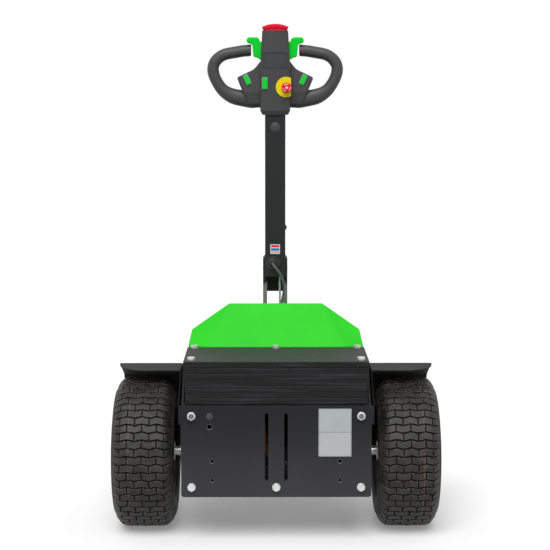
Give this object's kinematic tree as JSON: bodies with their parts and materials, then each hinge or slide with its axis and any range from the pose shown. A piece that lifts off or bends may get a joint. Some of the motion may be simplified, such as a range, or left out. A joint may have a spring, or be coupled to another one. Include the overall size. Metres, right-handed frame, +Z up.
{
  "type": "electric tow tractor",
  "caption": "Walk-behind electric tow tractor with two large drive wheels, bolted coupling plate, ballast stack, faceted hood, rear castor and a tilting tiller with loop grips",
  "frame": {"origin": "on the floor, midway across the width and along the length", "axes": "+Z up, +Y towards the driver who holds the tiller, +X to the right when the coupling plate is looked at from the front"},
  "size_m": [0.8622, 0.7999, 1.365],
  "materials": {
    "plate_black": "satin",
    "frame_black": "satin",
    "ballast_steel": "satin",
    "hood_green": "satin",
    "zinc": "satin",
    "bright_steel": "satin",
    "cast_alloy": "matte",
    "motor_black": "satin",
    "battery_case": "matte",
    "tyre_rubber": "matte",
    "rim_black": "satin",
    "castor_rubber": "matte",
    "castor_core": "matte",
    "fork_grey": "satin",
    "tube_black": "satin",
    "head_plastic": "matte",
    "grip_rubber": "matte",
    "green_plastic": "gloss",
    "red_plastic": "gloss",
    "yellow_plastic": "gloss",
    "gland_plastic": "matte",
    "cable_jacket": "matte",
    "cast_iron": "matte",
    "power_cable": "matte",
    "chassis_fender": "satin"
  },
  "bodies": {
    "chassis": {"coupling_plate": "plate_black", "coupling_plate_bolts": "zinc", "side_frame_right": "frame_black", "side_frame_left": "frame_black", "front_crossbar": "frame_black", "rear_crossplate": "frame_black", "belly_pan": "frame_black", "rear_deck": "frame_black", "ballast_shelf": "frame_black", "ballast_plates": "ballast_steel", "ballast_bolts": "zinc", "hood": "hood_green", "fender_right": "chassis_fender", "fender_left": "chassis_fender", "transaxle": "cast_alloy", "axle_bearings": "cast_iron", "drive_motor": "motor_black", "motor_cable": "power_cable", "battery_tray": "frame_black", "battery_pack": "battery_case", "castor_plate": "zinc", "tiller_mount": "frame_black", "tiller_pivot_pin": "bright_steel", "gas_spring_foot_pin": "bright_steel"},
    "wheel_left": {"tyre_left": "tyre_rubber", "rim_left": "rim_black", "hub_left": "zinc", "axle_shaft_left": "bright_steel"},
    "wheel_right": {"tyre_right": "tyre_rubber", "rim_right": "rim_black", "hub_right": "zinc", "axle_shaft_right": "bright_steel"},
    "castor_swivel": {"castor_fork": "zinc", "castor_axle": "zinc"},
    "castor_wheel": {"castor_tyre": "castor_rubber", "castor_core": "castor_core"},
    "tiller": {"tiller_fork": "fork_grey", "tiller_bracket": "tube_black", "tiller_tube": "tube_black", "gas_spring_top_pin": "bright_steel", "control_head": "head_plastic", "hand_grips": "grip_rubber", "throttle_levers": "green_plastic", "belly_button": "red_plastic", "estop_plate": "yellow_plastic", "estop_button": "red_plastic", "rocker_switches": "green_plastic", "cable_gland": "gland_plastic", "control_cable": "cable_jacket"},
    "gas_spring_cylinder": {"gas_spring_cylinder": "motor_black"},
    "gas_spring_rod": {"gas_spring_rod": "bright_steel"}
  },
  "joints": [
    {"name": "wheel_left_roll", "type": "hinge", "parent": "chassis", "child": "wheel_left", "pos_m": [-0.3485, -0.2, 0.2], "axis": [1, 0, 0], "continuous": true},
    {"name": "wheel_right_roll", "type": "hinge", "parent": "chassis", "child": "wheel_right", "pos_m": [0.3485, -0.2, 0.2], "axis": [1, 0, 0], "continuous": true},
    {"name": "castor_swivel", "type": "hinge", "parent": "chassis", "child": "castor_swivel", "pos_m": [0, 0.23, 0.22], "axis": [0, 0, 1], "continuous": true},
    {"name": "castor_roll", "type": "hinge", "parent": "castor_swivel", "child": "castor_wheel", "pos_m": [0, 0.275, 0.1], "axis": [1, 0, 0], "continuous": true},
    {"name": "tiller_tilt", "type": "hinge", "parent": "chassis", "child": "tiller", "pos_m": [0, 0.23, 0.3], "axis": [-1, 0, 0], "range_deg": [0, 70]},
    {"name": "gas_spring_swing", "type": "hinge", "parent": "chassis", "child": "gas_spring_cylinder", "pos_m": [0.014, 0.31, 0.28], "axis": [-1, 0, 0], "range_deg": [0, 72.33]},
    {"name": "gas_spring_slide", "type": "slide", "parent": "gas_spring_cylinder", "child": "gas_spring_rod", "axis": [0, -0.2469, 0.969], "range_m": [-0.09394, 0]}
  ],
  "couplings": [
    {"joint": "gas_spring_swing", "follows": "tiller_tilt", "ratio": 1.0318},
    {"joint": "gas_spring_slide", "follows": "tiller_tilt", "m_per_rad": -0.07673}
  ]
}
